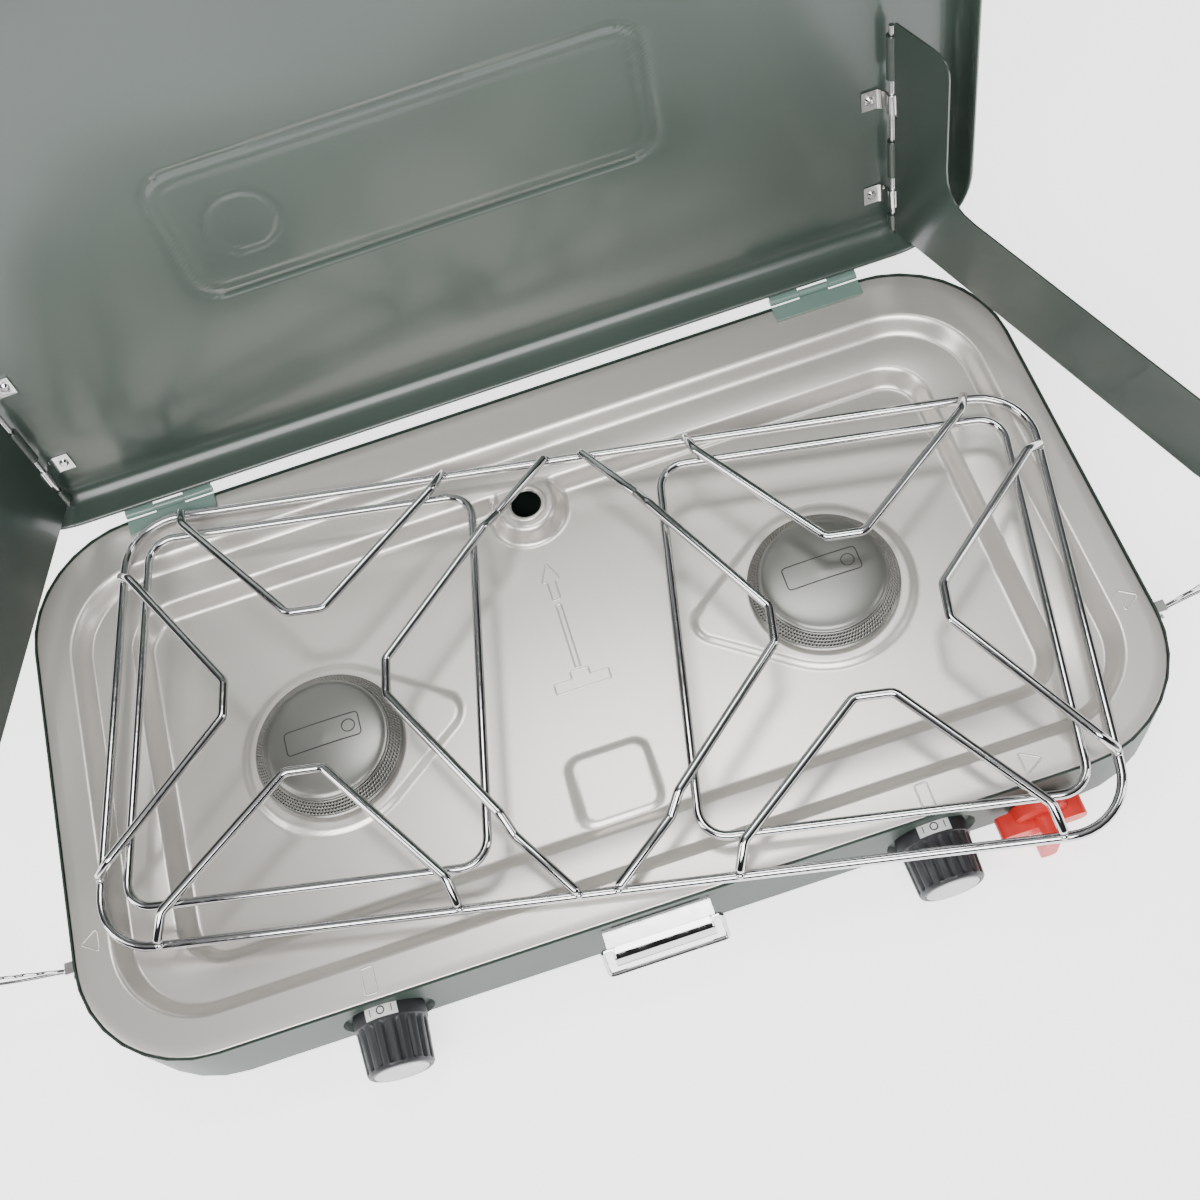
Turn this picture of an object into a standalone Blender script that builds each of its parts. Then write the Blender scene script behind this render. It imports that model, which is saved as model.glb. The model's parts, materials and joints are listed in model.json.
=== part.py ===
"""Two-burner suitcase camp stove: open lid, swung-out wind guards, loose wire grate.

Metres, +X to the right, +Y to the back (lid side), +Z up, z = 0 on the case's flat bottom.
"""
import math

import bmesh
import bpy
from mathutils import Matrix, Vector

for old in list(bpy.data.objects):
    bpy.data.objects.remove(old)

# ---- driving dimensions -------------------------------------------------------------
HALF_W = 0.2800             # case half width
HALF_D = 0.1540             # case half depth
CORNER = 0.0640             # case corner radius, in plan
RIM = 0.0500                # height of the cooking deck's rim above the case bottom
WALL = 0.0010               # sheet metal of case, deck and lid
GAP = 0.0003                # clearance between neighbouring pieces
LEDGE_DROP = 0.0090         # first step of the deck
FLOOR_DROP = 0.0190         # second step of the deck
DECK_MID = -0.0040          # the deck's steps sit this far in front of the middle
POCKET_Y = 0.0880           # hole for the lid's catch, at the back of the deck
BURNER_X = 0.1360
BURNER_Y = -0.0120
SPARK_X = BURNER_X - 0.0330  # spark electrode, under the burner's skirt
BOWL_SEAT = -0.0285         # lower end of a burner's neck, from the rim
KNOB_X = 0.1390
KNOB_Z = RIM - 0.0290
KNOB_LENGTH = 0.0312
IGNITER_X = 0.1915
INLET = Vector((0.2580, 0.0450, 0.0220))
LATCH_PIN = Vector((0.0, -HALF_D - 0.0039, RIM - 0.0105))
LATCH_HALF = 0.0268         # half width of the latch bracket
LEVER_HALF = 0.0252
BAIL_AT = (-0.0044, -0.0015)    # bail's pivot, seen from the latch pin
HINGE_Y = HALF_D + 0.0020   # lid hinge axis
HINGE_Z = RIM + 0.0020
HINGE_X = (0.1660, 0.2170)  # a hinge's ends
LEAN = math.radians(5)      # lid leans back past upright
LID_HALF_W = 0.2860
LID_HEIGHT = 0.3130
LID_LOW = 0.0035            # lid's lower edge above its hinge axis
LID_DEPTH = 0.0180
LID_CORNER = 0.0450
GUARD_X = 0.2435            # wind guard's rod, from the lid's middle
GUARD_IN = 0.0105           # rod, behind the lid's lip plane
SPLAY = math.radians(18.5)
GUARD_FOOT = (HINGE_Z - math.sin(LEAN) * GUARD_IN - RIM) / math.cos(LEAN)
GUARD_REACH = 0.2360
GUARD_LOW = 0.0168 - GUARD_FOOT     # lower edge above the hinge axis, along the rod
GUARD_BAND = 0.0665 - GUARD_FOOT    # top of the long band
GUARD_TALL = 0.1560 - GUARD_FOOT    # top of the tall strip
GUARD_STRIP = 0.0425                # width of the tall strip
ROD = 0.0014
CLIP_AT = {"lower": 0.0330, "upper": 0.0980}
CLIP_WIDTH = 0.0120
WIRE = 0.0025               # grate wire radius
LOOP_WIRE = 0.0023
GRATE_TURN = math.radians(-11.75)
GRATE_AT = Vector((0.0028, -0.0203, RIM + 0.0041))
GRATE_HW = 0.2488
GRATE_HD = 0.1215
GRATE_RISE = 0.0120         # raised wires above the outer frame wire
COOK_X = 0.1415             # centres of the grate's two fields, from its middle
STAY_AT = Vector((HALF_W + 0.0046, -0.0870, RIM - 0.0120))
STAY_LENGTH = 0.1050
STAY_SPREAD = 0.0046
STAY_BACK = math.radians(10)

ACROSS = (math.pi / 2, 0, math.pi / 2)   # turns an XY drawing into a YZ one, extruded along X
FORWARD = (math.pi / 2, 0, 0)            # turns a Z axis to the front
SIDES = ((-1, "left"), (1, "right"))


# ---- collections and materials --------------------------------------------------------
PARTS = bpy.data.collections.new("camp_stove")
CUTTERS = bpy.data.collections.new("cutters")
for group in (PARTS, CUTTERS):
    bpy.context.scene.collection.children.link(group)


def material(name, rgb, metal, rough):
    mat = bpy.data.materials.new(name)
    mat.use_nodes = True
    bsdf = mat.node_tree.nodes["Principled BSDF"]
    bsdf.inputs["Base Color"].default_value = (*rgb, 1)
    bsdf.inputs["Metallic"].default_value = metal
    bsdf.inputs["Roughness"].default_value = rough
    return mat


GREEN = material("painted_steel_green", (0.13, 0.20, 0.17), 0.2, 0.35)
GREEN_LIGHT = material("painted_steel_light_green", (0.24, 0.36, 0.32), 0.1, 0.4)
DECK = material("aluminised_steel", (0.70, 0.69, 0.67), 0.9, 0.38)
CHROME = material("chromed_steel", (0.80, 0.80, 0.80), 1.0, 0.12)
BURNER = material("pressed_steel", (0.45, 0.45, 0.43), 1.0, 0.35)
BLACK = material("black_plastic", (0.03, 0.03, 0.035), 0.0, 0.45)
GREY = material("grey_plastic", (0.60, 0.61, 0.62), 0.0, 0.35)
RED = material("red_plastic", (0.75, 0.05, 0.04), 0.0, 0.35)
BRASS = material("brass", (0.70, 0.52, 0.22), 1.0, 0.3)
CERAMIC = material("ceramic", (0.85, 0.83, 0.78), 0.0, 0.3)
RUBBER = material("rubber", (0.04, 0.04, 0.04), 0.0, 0.8)
ZINC = material("zinc_plated_steel", (0.62, 0.62, 0.60), 1.0, 0.3)


# ---- objects --------------------------------------------------------------------------
def add(name, data, mat, at=(0, 0, 0), turn=(0, 0, 0), parent=None):
    """A new object in the stove's collection, placed in its parent's frame."""
    ob = bpy.data.objects.new(name, data)
    PARTS.objects.link(ob)
    ob.location = at
    ob.rotation_euler = turn
    ob.parent = parent
    if mat:
        data.materials.append(mat)
    return ob


def joint_frame(name, at, turn=(0, 0, 0), parent=None):
    """An empty on a joint's axis. What moves with the joint is its child."""
    return add(name, None, None, at, turn, parent)


def from_bmesh(name, bm, mat, at, turn, parent):
    mesh = bpy.data.meshes.new(name)
    bm.to_mesh(mesh)
    bm.free()
    mesh.shade_smooth()
    mesh.set_sharp_from_angle(angle=math.radians(35))
    return add(name, mesh, mat, at, turn, parent)


def box(name, low, high, mat=None, parent=None):
    low, high = Vector(low), Vector(high)
    bm = bmesh.new()
    bmesh.ops.create_cube(bm, size=1, matrix=Matrix.Diagonal((*(high - low), 1)))
    return from_bmesh(name, bm, mat, (low + high) / 2, (0, 0, 0), parent)


def cone(name, radii, height, at, turn=(0, 0, 0), mat=None, segments=24, parent=None):
    """A cylinder or a cone, centred at a point, with its axis on local Z."""
    bm = bmesh.new()
    bmesh.ops.create_cone(bm, cap_ends=True, segments=segments, radius1=radii[0], radius2=radii[1], depth=height)
    return from_bmesh(name, bm, mat, at, turn, parent)


def rod(name, a, b, radius, mat=None, segments=20, parent=None):
    a, b = Vector(a), Vector(b)
    turn = (b - a).to_track_quat("Z", "Y").to_euler()
    return cone(name, (radius, radius), (b - a).length, (a + b) / 2, turn, mat, segments, parent)


def turned(name, profile, at=(0, 0, 0), turn=(0, 0, 0), mat=None, steps=32, parent=None, ring=False):
    """A profile of (radius, height) pairs, up the outside, turned about local Z.

    A ring's profile comes back down the inside and closes; any other one ends on the axis.
    """
    points = list(profile) if ring else [(0, profile[0][1]), *profile, (0, profile[-1][1])]
    points.reverse()
    edges = [(i, i + 1) for i in range(len(points) - 1)]
    if ring:
        edges.append((len(points) - 1, 0))
    mesh = bpy.data.meshes.new(name)
    mesh.from_pydata([(radius, 0, height) for radius, height in points], edges, [])
    ob = add(name, mesh, mat, at, turn, parent)
    screw = ob.modifiers.new("turn", "SCREW")
    screw.steps = steps
    screw.render_steps = steps
    screw.use_merge_vertices = True
    screw.merge_threshold = 0.00001
    return ob


def curve(name, outlines, mat, at, turn, parent, flat, closed):
    data = bpy.data.curves.new(name, "CURVE")
    data.dimensions = "2D" if flat else "3D"
    for outline in outlines:
        spline = data.splines.new("POLY")
        spline.points.add(len(outline) - 1)
        for point, co in zip(spline.points, outline):
            point.co = (*Vector(co).to_3d(), 1)
        spline.use_cyclic_u = closed
    return add(name, data, mat, at, turn, parent)


def wire(name, points, radius, mat, parent=None, closed=False, resolution=2):
    """A round wire or tube along a list of points."""
    ob = curve(name, [points], mat, (0, 0, 0), (0, 0, 0), parent, False, closed)
    ob.data.bevel_depth = radius
    ob.data.bevel_resolution = resolution
    ob.data.use_fill_caps = not closed
    return ob


def plate(name, outlines, thickness, mat=None, at=(0, 0, 0), turn=(0, 0, 0), parent=None):
    """Flat outlines in XY with a thickness along Z; a second outline is a hole."""
    ob = curve(name, outlines, mat, at, turn, parent, True, True)
    ob.data.fill_mode = "BOTH"
    ob.data.extrude = thickness / 2
    return ob


def as_mesh(ob):
    """The curve's surface as a mesh with its caps joined on, so that it can be cut."""
    bpy.context.view_layer.update()
    mesh = bpy.data.meshes.new_from_object(ob.evaluated_get(bpy.context.evaluated_depsgraph_get()))
    bm = bmesh.new()
    bm.from_mesh(mesh)
    bmesh.ops.remove_doubles(bm, verts=bm.verts, dist=0.000002)
    bm.to_mesh(mesh)
    bm.free()
    solid = bpy.data.objects.new(ob.name, mesh)
    PARTS.objects.link(solid)
    solid.parent = ob.parent
    solid.matrix_world = ob.matrix_world
    name = ob.name
    bpy.data.objects.remove(ob)
    solid.name = name
    return solid


def bent_sheet(name, path, width, thickness, mat, at=(0, 0, 0), turn=(0, 0, 0), parent=None):
    """A sheet bent along a path in XY, its width along Z."""
    ob = curve(name, [path], mat, at, turn, parent, True, False)
    ob.data.fill_mode = "NONE"
    ob.data.extrude = width / 2
    ob = as_mesh(ob)
    thicken(ob, thickness, 0)
    return ob


def thicken(ob, thickness, offset=-1):
    solidify = ob.modifiers.new("sheet", "SOLIDIFY")
    solidify.thickness = thickness
    solidify.offset = offset
    solidify.use_even_offset = True


def boolean(ob, tool, operation):
    """Joins a tool to an object or cuts it away; the tool moves to the cutters."""
    modifier = ob.modifiers.new(operation.lower(), "BOOLEAN")
    modifier.operation = operation
    modifier.solver = "EXACT"
    modifier.object = tool
    PARTS.objects.unlink(tool)
    CUTTERS.objects.link(tool)
    tool.hide_render = True
    tool.display_type = "WIRE"


def join(ob, *tools):
    for tool in tools:
        boolean(ob, tool, "UNION")


def cut(ob, *tools):
    for tool in tools:
        boolean(ob, tool, "DIFFERENCE")


# ---- outlines -------------------------------------------------------------------------
def rounded(half_x, half_y, radius, z=0.0, mid=0.0, steps=8):
    """A rounded rectangle, counter-clockwise, level at height z."""
    points = []
    for sx, sy, start in ((1, 1, 0), (-1, 1, 90), (-1, -1, 180), (1, -1, 270)):
        centre = Vector((sx * (half_x - radius), sy * (half_y - radius) + mid, z))
        for step in range(steps + 1):
            angle = math.radians(start + 90 * step / steps)
            points.append(centre + Vector((math.cos(angle), math.sin(angle), 0)) * radius)
    return points


def bent(points, radius, steps=5, closed=False):
    """A polyline with its corners replaced by soft bends of about the given radius."""
    corners = [Vector(p).to_3d() for p in points]
    path = [] if closed else [corners[0]]
    for i in range(0 if closed else 1, len(corners) if closed else len(corners) - 1):
        corner = corners[i]
        before, after = corners[i - 1] - corner, corners[(i + 1) % len(corners)] - corner
        reach = radius / math.tan(before.angle(after) / 2)
        reach = min(reach, 0.45 * before.length, 0.45 * after.length)
        start, end = corner + before.normalized() * reach, corner + after.normalized() * reach
        for step in range(steps + 1):
            t = step / steps
            path.append(start * (1 - t) ** 2 + corner * 2 * t * (1 - t) + end * t ** 2)
    if not closed:
        path.append(corners[-1])
    return path


def arc(radius, first, last, step):
    """Points on a circle, by angle in degrees from +X."""
    angles = [math.radians(a) for a in range(first, last + 1, step)]
    return [Vector((radius * math.cos(a), radius * math.sin(a))) for a in angles]


def loft(name, sections, mat, parent=None):
    """An open skin through sections of equal length; the last one is closed flat."""
    count = len(sections[0])
    points = [point for section in sections for point in section]
    faces = []
    for first in range(0, len(points) - count, count):
        for i in range(count):
            j = (i + 1) % count
            faces.append((first + i, first + j, first + count + j, first + count + i))
    faces.append(range(len(points) - count, len(points)))
    mesh = bpy.data.meshes.new(name)
    mesh.from_pydata(points, [], faces)
    mesh.shade_smooth()
    mesh.set_sharp_from_angle(angle=math.radians(50))
    return add(name, mesh, mat, parent=parent)


# ---- case and deck --------------------------------------------------------------------
def case():
    """A deep pressed pan with round corners, a shelf for the deck and a dish behind each knob."""
    bm = bmesh.new()
    size = Matrix.Diagonal((2 * HALF_W, 2 * HALF_D, RIM, 1))
    bmesh.ops.create_cube(bm, size=1, matrix=Matrix.Translation((0, 0, RIM / 2)) @ size)
    upright = [e for e in bm.edges if abs(e.verts[0].co.z - e.verts[1].co.z) > RIM / 2]
    bmesh.ops.bevel(bm, geom=upright, offset=CORNER, segments=8, profile=0.5, affect="EDGES")
    bm.normal_update()
    bmesh.ops.delete(bm, geom=[f for f in bm.faces if f.normal.z > 0.5], context="FACES_ONLY")
    bottom = [e for e in bm.edges if max(v.co.z for v in e.verts) < GAP]
    bmesh.ops.bevel(bm, geom=bottom, offset=0.006, segments=3, profile=0.5, affect="EDGES")
    shell = from_bmesh("case_shell", bm, GREEN, (0, 0, 0), (0, 0, 0), None)
    thicken(shell, WALL)

    for side, _ in SIDES:
        x = side * KNOB_X
        join(shell, cone("cup", (0.0220, 0.0245), 0.0038, (x, -HALF_D + 0.0026, KNOB_Z), FORWARD, segments=32))
        cut(shell, cone("dish", (0.0210, 0.0240), 0.0060, (x, -HALF_D + 0.0005, KNOB_Z), FORWARD, segments=32),
            cone("stem_hole", (0.0050, 0.0050), 0.0200, (x, -HALF_D, KNOB_Z), FORWARD, segments=20))
        slot = Vector((side * HALF_W, STAY_AT.y, STAY_AT.z))
        half = Vector((0.0100, 0.0035, 0.0045))
        cut(shell, box("stay_slot", slot - half, slot + half))
    cut(shell, cone("igniter_hole", (0.0075, 0.0075), 0.0200, (IGNITER_X, -HALF_D, KNOB_Z), FORWARD, segments=20),
        rod("inlet_hole", (HALF_W - 0.01, INLET.y, INLET.z), (HALF_W + 0.01, INLET.y, INLET.z), 0.0110))

    def inset(depth):
        return rounded(HALF_W - depth, HALF_D - depth, CORNER - depth)
    shelf = plate("shelf", [inset(WALL / 2), inset(0.0065)], 0.0012, at=(0, 0, RIM - 0.0028))
    join(shell, as_mesh(shelf))


def deck():
    """The drip tray: a flat rim, a ledge and a floor, pressed from one sheet."""
    top = RIM - 0.0006
    edge = WALL + GAP
    sections = [rounded(HALF_W - edge, HALF_D - edge, CORNER - edge, top)]
    steps = [(0.2600, 0.1300, 0.0470, 0.0), (0.2580, 0.1280, 0.0450, 0.0012), (0.2540, 0.1240, 0.0410, 0.0078),
             (0.2520, 0.1220, 0.0390, LEDGE_DROP), (0.2300, 0.1050, 0.0260, LEDGE_DROP),
             (0.2280, 0.1030, 0.0240, LEDGE_DROP + 0.0012), (0.2235, 0.0985, 0.0195, FLOOR_DROP - 0.0012),
             (0.2215, 0.0965, 0.0175, FLOOR_DROP)]
    sections += [rounded(x, y, radius, top - drop, DECK_MID) for x, y, radius, drop in steps]
    tray = loft("cooktop_tray", sections, DECK)
    thicken(tray, WALL)
    floor = top - FLOOR_DROP
    join(tray, turned("pocket", [(0.0150, 0.0), (0.0145, 0.0070), (0.0135, 0.0080)],
                      (0, POCKET_Y, floor - WALL / 2), steps=28))
    cut(tray, cone("catch_hole", (0.0085, 0.0085), 0.0400, (0, POCKET_Y, floor), segments=32))
    for side, _ in SIDES:
        cut(tray, cone("burner_hole", (0.0125, 0.0125), 0.0200, (side * BURNER_X, BURNER_Y, floor), segments=28),
            cone("spark_hole", (0.0024, 0.0024), 0.0200, (side * SPARK_X, BURNER_Y, floor), segments=16))


def feet():
    for y, row in ((-0.1050, "front"), (0.1050, "rear")):
        for side, word in SIDES:
            turned("foot_%s_%s" % (row, word), [(0.0090, -0.0060), (0.0100, -0.0050), (0.0100, -GAP)],
                   (side * 0.2150, y, 0), mat=RUBBER, steps=24)


# ---- burners and gas train ------------------------------------------------------------
def burner(side, word):
    """Bowl on a neck, slanted flame ring and domed cap, over the end of the mixing tube."""
    at = (side * BURNER_X, BURNER_Y, RIM)
    bowl = [(0.0120, BOWL_SEAT), (0.0120, -0.0192), (0.0260, -0.0183), (0.0392, -0.0160), (0.0400, -0.0140),
            (0.0388, -0.0140), (0.0382, -0.0148), (0.0256, -0.0171), (0.0108, -0.0180), (0.0108, BOWL_SEAT)]
    turned("burner_bowl_" + word, bowl, at, mat=BURNER, steps=32, ring=True)
    band = [(0.0400, -0.0137), (0.0396, -0.0128), (0.0332, -0.0070), (0.0320, -0.0070), (0.0384, -0.0131),
            (0.0388, -0.0137)]
    turned("burner_ring_" + word, band, at, mat=BURNER, steps=36, ring=True)
    cap = [(0.0314, -0.0085), (0.0314, -0.0067), (0.0334, -0.0067), (0.0333, -0.0060), (0.0310, -0.0051),
           (0.0240, -0.0038), (0.0140, -0.0030)]
    turned("burner_cap_" + word, cap, at, mat=BURNER, steps=36)


def venturi(side, word):
    """Mixing tube from the valve to a cup round the burner's neck."""
    foot = Vector((side * BURNER_X, BURNER_Y, KNOB_Z - 0.0010))
    path = [(side * KNOB_X, -0.1180, KNOB_Z), (side * KNOB_X, -0.0600, KNOB_Z), foot]
    tube = as_mesh(wire("venturi_tube_" + word, bent(path, 0.03), 0.0062, ZINC, resolution=4))
    join(tube, turned("cup", [(0.0100, -0.0072), (0.0136, -0.0052), (0.0136, 0.0030)], foot, steps=24))
    seat = RIM + BOWL_SEAT - GAP
    cut(tube, rod("seat", (foot.x, foot.y, seat), (foot.x, foot.y, seat + 0.0088), 0.0123, segments=24))


def electrode(side, word):
    """Ceramic spark electrode under the burner's skirt, its tip short of the bowl."""
    profile = [(0.0020, 0), (0.0020, 0.0110), (0.0012, 0.0120), (0.0009, 0.0122), (0.0009, 0.0150)]
    turned("electrode_" + word, profile, (side * SPARK_X, BURNER_Y, RIM - 0.0330), mat=CERAMIC, steps=16)


def valve(word, spindle):
    """Valve body behind the case wall, and the spindle that carries the knob."""
    x = spindle.location.x
    body = rod("valve_body_" + word, (x, -0.1455, KNOB_Z), (x, -0.1185, KNOB_Z), 0.0080, BRASS, 24)
    join(body, rod("port", (x, -0.1330, KNOB_Z), (x, -0.1330, KNOB_Z - 0.0105), 0.0062))
    cut(body, rod("stem_bore", (x, -0.1470, KNOB_Z), (x, -0.1380, KNOB_Z), 0.0036))
    rod("valve_stem_" + word, (0, 0, -0.0156), (0, 0, 0.0155), 0.0033, BRASS, 20, spindle)


def manifold():
    """Pipe under both valves, then round to the threaded inlet in the right-hand wall."""
    low = KNOB_Z - 0.0128
    corner_x, y = 0.2350, -0.1330
    path = [(-KNOB_X - 0.0040, y, low), (corner_x, y, low), (corner_x, INLET.y, low),
            (corner_x, INLET.y, INLET.z), (INLET.x + 0.0020, INLET.y, INLET.z)]
    pipe = as_mesh(wire("gas_manifold", bent(path, 0.010, 4), 0.0020, BRASS))
    fitting = [(0.0090, 0), (0.0090, 0.0080), (0.0105, 0.0090), (0.0105, 0.0180), (0.0096, 0.0190), (0.0096, 0.0235)]
    join(pipe, turned("inlet", fitting, INLET, (0, math.pi / 2, 0), steps=28))
    cut(pipe, rod("inlet_bore", (0.2700, INLET.y, INLET.z), (0.2900, INLET.y, INLET.z), 0.0070, segments=24))


# ---- controls -------------------------------------------------------------------------
def knob(word, spindle):
    """Fluted knob with a round collar, and the disc let into its end."""
    seat = -0.0032
    profile = [(0.0150, seat), (0.0180, seat + 0.0008), (0.0181, seat + 0.0080), (0.0176, seat + 0.0092),
               (0.0166, seat + 0.0290), (0.0160, seat + 0.0303), (0.0152, seat + KNOB_LENGTH)]
    grip = turned("control_knob_" + word, profile, mat=BLACK, steps=42, parent=spindle)
    cut(grip, cone("stem_bore", (0.0037, 0.0037), 0.0240, (0, 0, seat + 0.0080), parent=spindle, segments=20),
        cone("disc_seat", (0.0138, 0.0138), 0.0040, (0, 0, seat + 0.0316), parent=spindle, segments=28))
    flutes = bmesh.new()
    count, radius, depth = 14, 0.0022, 0.0010
    for i in range(count):
        angle = 2 * math.pi * i / count
        out = 0.0172 - depth + radius
        at = Matrix.Translation((out * math.cos(angle), out * math.sin(angle), seat + 0.0198))
        bmesh.ops.create_cone(flutes, cap_ends=True, segments=6, radius1=radius, radius2=radius, depth=0.0200, matrix=at)
    cut(grip, from_bmesh("flutes", flutes, None, (0, 0, 0), (0, 0, 0), spindle))
    turned("knob_disc_" + word, [(0.0135, seat + 0.0299), (0.0135, seat + 0.0310), (0.0131, seat + 0.0314)],
           mat=GREY, steps=28, parent=spindle)


def igniter():
    """Spark unit through the case wall, and its red cross-shaped turn knob."""
    spindle = joint_frame("igniter_spindle", (IGNITER_X, -HALF_D, KNOB_Z), FORWARD)
    turned("igniter_body", [(0.0070, -0.0250), (0.0070, 0.0005), (0.0072, 0.0006)], (IGNITER_X, -HALF_D, KNOB_Z), FORWARD,
           BLACK, 24)
    hub = turned("igniter_knob", [(0.0135, 0.0012), (0.0145, 0.0020), (0.0145, 0.0080), (0.0130, 0.0095)],
                 mat=RED, steps=36, parent=spindle)
    wing = bent([(-0.0215, -0.0050), (0.0215, -0.0050), (0.0215, 0.0050), (-0.0215, 0.0050)], 0.0048, 5, True)
    rib = bent([(-0.0042, -0.0190), (0.0042, -0.0190), (0.0042, 0.0090), (-0.0042, 0.0090)], 0.0040, 5, True)
    join(hub, as_mesh(plate("wing", [wing], 0.0110, at=(0, 0, 0.0085), parent=spindle)),
         as_mesh(plate("rib", [rib], 0.0200, at=(0, 0, 0.0130), parent=spindle)))


# ---- latch ----------------------------------------------------------------------------
def latch():
    """Fixed bracket with a shelf and two cheeks, a lipped lever on its pin, and the wire bail on the lever."""
    pin = LATCH_PIN
    front = -HALF_D - GAP
    shelf = RIM - 0.0062
    base = box("latch_bracket", (-0.0220, front - 0.0012, RIM - 0.0300), (0.0220, front, shelf + 0.0005), ZINC)
    join(base, box("shelf", (-LATCH_HALF, front - 0.0090, shelf), (LATCH_HALF, front - 0.0002, shelf + WALL)))
    for side, _ in SIDES:
        x = sorted((side * (LATCH_HALF - 0.0011), side * (LATCH_HALF - 0.0001)))
        join(base, box("cheek", (x[0], front - 0.0056, RIM - 0.0135), (x[1], front - 0.0003, shelf + 0.0005)))
    join(base, rod("pin", pin - Vector((LATCH_HALF, 0, 0)), pin + Vector((LATCH_HALF, 0, 0)), 0.0009, segments=14))

    hinge_line = joint_frame("latch_lever_axis", pin)
    lip = [(-0.0022, -0.0040), (-0.0052, -0.0052), (-0.0082, -0.0076), (-0.0096, -0.0108), (-0.0098, -0.0124)]
    lever = bent_sheet("latch_lever", lip, 2 * LEVER_HALF, 0.0010, CHROME, turn=ACROSS, parent=hinge_line)
    ear = [(0.0020, 0.0018), (-0.0020, 0.0018), (-0.0062, 0.0004), (-0.0080, -0.0075), (-0.0052, -0.0053),
           (-0.0018, -0.0042), (0.0022, -0.0012)]
    for side, _ in SIDES:
        join(lever, as_mesh(plate("ear", [ear], 0.0009, at=(side * (LEVER_HALF - 0.0006), 0, 0), turn=ACROSS,
                                  parent=hinge_line)))
    for (y, z), radius in (((0, 0), 0.0012), (BAIL_AT, 0.0014)):
        cut(lever, rod("pin_hole", (-0.0400, y, z), (0.0400, y, z), radius, segments=14, parent=hinge_line))

    bail_line = joint_frame("latch_bail_axis", (0, *BAIL_AT), parent=hinge_line)
    half = [(0.0236, 0, 0), (0.0300, 0, 0), (0.0300, -0.0085, -0.0130)]
    path = [(-x, y, z) for x, y, z in half] + half[::-1]
    wire("latch_bail", bent(path, 0.0022, 3), 0.0011, CHROME, bail_line)


# ---- lid and its hinges ---------------------------------------------------------------
def lid(frame):
    """A shallow pan with a rolled edge. In its frame x is across, z up and -y its open side."""
    mid = LID_LOW + LID_HEIGHT / 2

    def section(inset, depth):
        flat = rounded(LID_HALF_W - inset, LID_HEIGHT / 2 - inset, max(LID_CORNER - inset, 0.004))
        return [Vector((p.x, depth, p.y + mid)) for p in flat]
    back = LID_DEPTH + WALL
    skin = [section(0.0012, 0.0022), section(0.0018, 0.0050), section(0.0055, back - 0.0040),
            section(0.0085, back - 0.0012), section(0.0130, back)]
    shell = loft("lid_shell", skin, GREEN, frame)
    thicken(shell, WALL)
    join(shell, as_mesh(wire("hem", section(0.0017, 0.0017), 0.0016, None, frame, True)))


def hinge(side, word, lid_frame):
    """Two bent leaves, each curled round the pin, and the pin."""
    x0, x1 = sorted(side * x for x in HINGE_X)
    third = (x1 - x0) / 3
    middle, width = (x0 + x1) / 2, x1 - x0
    curl = 0.0017
    on_deck = [(-0.0124, -0.0013), (-0.0024, -0.0013)] + arc(curl, -90, 190, 20)
    leaf = bent_sheet("hinge_case_leaf_" + word, on_deck, width, 0.0008, GREEN_LIGHT,
                      (middle, HINGE_Y, HINGE_Z), ACROSS)
    for a, b in ((x0 - 0.0010, x0 + third), (x1 - third, x1 + 0.0010)):
        cut(leaf, box("knuckle_gap", (a, HINGE_Y - 0.0028, RIM - 0.0020), (b, HINGE_Y + 0.0030, RIM + 0.0060)))
    on_wall = [(0.0100, 0.0026), (0.0032, 0.0026), (0.0014, 0.0021)] + arc(curl, 90, 370, 20)
    leaf = bent_sheet("hinge_lid_leaf_" + word, on_wall, width, 0.0008, GREEN_LIGHT, (middle, 0, 0), ACROSS, lid_frame)
    half = third / 2 + GAP
    cut(leaf, box("knuckle_gap", (middle - half, -0.0035, -0.0040), (middle + half, 0.0031, 0.0040), parent=lid_frame))
    rod("hinge_pin_" + word, (x0 + 0.0005, HINGE_Y, HINGE_Z), (x1 - 0.0005, HINGE_Y, HINGE_Z), 0.0010, ZINC, 16)


# ---- wind guards ----------------------------------------------------------------------
def guard(side, word, lid_frame):
    """L-shaped sheet with knuckles round a rod that stands in the lid. Its frame has x along it."""
    at = (side * GUARD_X, GUARD_IN, 0)
    frame = joint_frame("guard_axis_" + word, at, (0, 0, side * SPLAY - math.pi / 2), lid_frame)
    start = 0.0023
    corners = [((start, GUARD_LOW), 0.001), ((GUARD_REACH, GUARD_LOW), 0.012), ((GUARD_REACH, GUARD_BAND), 0.012),
               ((GUARD_STRIP, GUARD_BAND), 0.022), ((GUARD_STRIP, GUARD_TALL), 0.012), ((start, GUARD_TALL), 0.002)]
    outline = []
    for i, (corner, radius) in enumerate(corners):
        outline += bent([corners[i - 1][0], corner, corners[(i + 1) % len(corners)][0]], radius)[1:-1]
    sheet = as_mesh(plate("wind_guard_" + word, [outline], WALL, GREEN, turn=FORWARD, parent=frame))
    for low in CLIP_AT.values():
        cut(sheet, box("clip_notch", (0, -0.0030, low - 0.0015), (0.0046, 0.0030, low + CLIP_WIDTH + 0.0015), parent=frame))
    for low, high in ((GUARD_LOW + 0.0010, GUARD_LOW + 0.0110), (0.0550, 0.0790), (0.1200, 0.1460)):
        ring = [(0.0029, low), (0.0029, high), (0.0017, high), (0.0017, low)]
        join(sheet, turned("knuckle", ring, steps=16, parent=frame, ring=True))
    rod("guard_rod_" + word, (*at[:2], GUARD_LOW - 0.0040), (*at[:2], 0.1520), ROD, CHROME, 14, lid_frame)


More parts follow.
